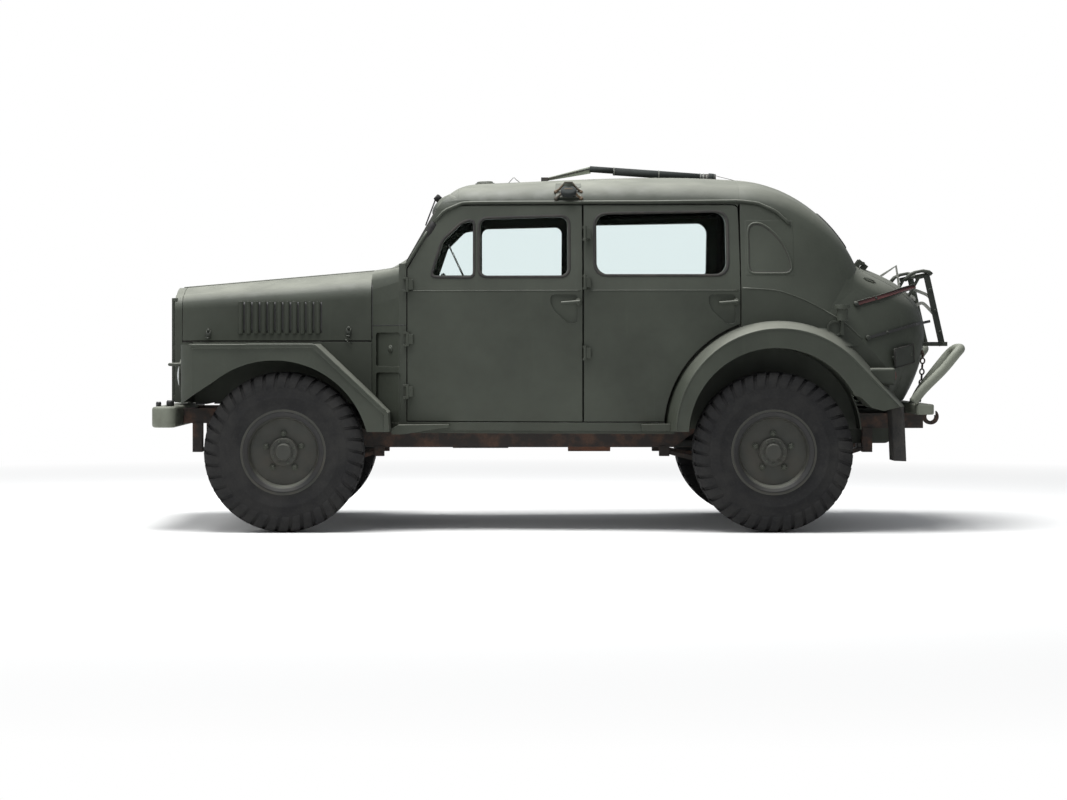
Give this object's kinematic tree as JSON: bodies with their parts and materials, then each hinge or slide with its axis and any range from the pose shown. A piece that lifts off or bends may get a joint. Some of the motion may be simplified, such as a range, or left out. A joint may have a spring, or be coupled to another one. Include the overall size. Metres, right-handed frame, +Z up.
{
  "type": "army 4x4 saloon car",
  "caption": "Rounded army-green saloon on a tall leaf-sprung off-road chassis, with opening doors, hood halves and boot lid, steering and rolling wheels.",
  "frame": {"origin": "on the ground, midway along and across the car", "axes": "+X to the rear, +Y to the right side, +Z up"},
  "size_m": [4.505, 1.89, 2.058],
  "materials": {
    "paint": "matt army green",
    "chassis": "dark with rust",
    "exhaust": "rusty",
    "machinery": "oily cast",
    "radiator": "matt black",
    "tyre": "worn rubber",
    "rubber": "matt",
    "glass": "clear",
    "seat": "worn",
    "black_plastic": "satin",
    "lamp": "matt with glass"
  },
  "bodies": {
    "car": {"aerial_base": "chassis", "aerial_socket": "paint", "chassis_frame": "chassis", "cowl_panel": "paint", "dashboard": "paint", "door_pillars": "paint", "driveline": "machinery", "engine": "machinery", "exhaust": "exhaust", "fixed_glass": "glass", "floor_pan": "paint", "front_axle": "chassis", "front_bumper": "paint", "front_fenders": "paint", "front_seats": "seat", "fuel_tank": "paint", "headlamps": "lamp", "leaf_springs": "chassis", "mud_flaps": "rubber", "quarter_left": "paint", "quarter_right": "paint", "radiator": "radiator", "radiator_shell": "paint", "rear_axle": "chassis", "rear_bumpers": "paint", "rear_seat": "seat", "roof_aerial": "machinery", "roof_panel": "paint", "seat_frames": "paint", "sills": "paint", "steering_column": "paint", "steps": "chassis", "tail_lamps": "paint", "tow_hook": "chassis"},
    "hood_left": {"hood_left": "paint"},
    "hood_right": {"hood_right": "paint"},
    "door_front_left": {"door_front_left": "paint", "glass_front_left": "glass"},
    "door_front_right": {"door_front_right": "paint", "glass_front_right": "glass"},
    "door_rear_left": {"door_rear_left": "paint", "glass_rear_left": "glass"},
    "door_rear_right": {"door_rear_right": "paint", "glass_rear_right": "glass"},
    "boot_lid": {"boot_lid": "paint", "rear_rack": "paint"},
    "knuckle_left": {"knuckle_left": "chassis"},
    "knuckle_right": {"knuckle_right": "chassis"},
    "tie_rod": {"tie_rod": "chassis"},
    "steering_wheel": {"steering_wheel": "black_plastic"},
    "wheel_front_left": {"tyre_front_left": "tyre", "rim_front_left": "paint"},
    "wheel_front_right": {"tyre_front_right": "tyre", "rim_front_right": "paint"},
    "wheel_rear_left": {"tyre_rear_left": "tyre", "rim_rear_left": "paint"},
    "wheel_rear_right": {"tyre_rear_right": "tyre", "rim_rear_right": "paint"}
  },
  "joints": [
    {"name": "hood_left_lift", "type": "hinge", "parent": "car", "child": "hood_left", "pos_m": [-2.13, 0, 1.358], "axis": [-0.9961, 0, -0.0878], "range_deg": [0, 60]},
    {"name": "hood_right_lift", "type": "hinge", "parent": "car", "child": "hood_right", "pos_m": [-2.13, 0, 1.358], "axis": [0.9961, 0, 0.0878], "range_deg": [0, 60]},
    {"name": "door_front_left_swing", "type": "hinge", "parent": "car", "child": "door_front_left", "pos_m": [-0.842, -0.672, 1], "axis": [0, 0, -1], "range_deg": [0, 65]},
    {"name": "door_front_right_swing", "type": "hinge", "parent": "car", "child": "door_front_right", "pos_m": [-0.842, 0.672, 1], "axis": [0, 0, 1], "range_deg": [0, 65]},
    {"name": "door_rear_left_swing", "type": "hinge", "parent": "car", "child": "door_rear_left", "pos_m": [0.14, -0.806, 1], "axis": [0, 0, -1], "range_deg": [0, 65]},
    {"name": "door_rear_right_swing", "type": "hinge", "parent": "car", "child": "door_rear_right", "pos_m": [0.14, 0.806, 1], "axis": [0, 0, 1], "range_deg": [0, 65]},
    {"name": "boot_lid_lift", "type": "hinge", "parent": "car", "child": "boot_lid", "pos_m": [1.7308, 0, 1.48839], "axis": [0, -1, 0], "range_deg": [0, 55]},
    {"name": "steer_left", "type": "hinge", "parent": "car", "child": "knuckle_left", "pos_m": [-1.512, -0.66, 0.44], "axis": [0, 0, 1], "range_deg": [-25, 25]},
    {"name": "steer_right", "type": "hinge", "parent": "car", "child": "knuckle_right", "pos_m": [-1.512, 0.66, 0.44], "axis": [0, 0, 1], "range_deg": [-25, 25]},
    {"name": "tie_rod_pivot", "type": "hinge", "parent": "knuckle_left", "child": "tie_rod", "pos_m": [-1.322, -0.66, 0.495], "axis": [0, 0, 1], "range_deg": [-26, 26]},
    {"name": "steering_wheel_turn", "type": "hinge", "parent": "car", "child": "steering_wheel", "pos_m": [-0.56, -0.33, 1.23], "axis": [0.8585, 0, 0.5127], "range_deg": [-410, 410]},
    {"name": "roll_front_left", "type": "hinge", "parent": "knuckle_left", "child": "wheel_front_left", "pos_m": [-1.512, -0.8, 0.44], "axis": [0, 1, 0], "continuous": true},
    {"name": "roll_front_right", "type": "hinge", "parent": "knuckle_right", "child": "wheel_front_right", "pos_m": [-1.512, 0.8, 0.44], "axis": [0, 1, 0], "continuous": true},
    {"name": "roll_rear_left", "type": "hinge", "parent": "car", "child": "wheel_rear_left", "pos_m": [1.168, -0.8, 0.44], "axis": [0, 1, 0], "continuous": true},
    {"name": "roll_rear_right", "type": "hinge", "parent": "car", "child": "wheel_rear_right", "pos_m": [1.168, 0.8, 0.44], "axis": [0, 1, 0], "continuous": true}
  ],
  "couplings": [
    {"joint": "steer_right", "follows": "steer_left", "ratio": 1},
    {"joint": "tie_rod_pivot", "follows": "steer_left", "ratio": -1},
    {"joint": "steering_wheel_turn", "follows": "steer_left", "ratio": 16}
  ]
}
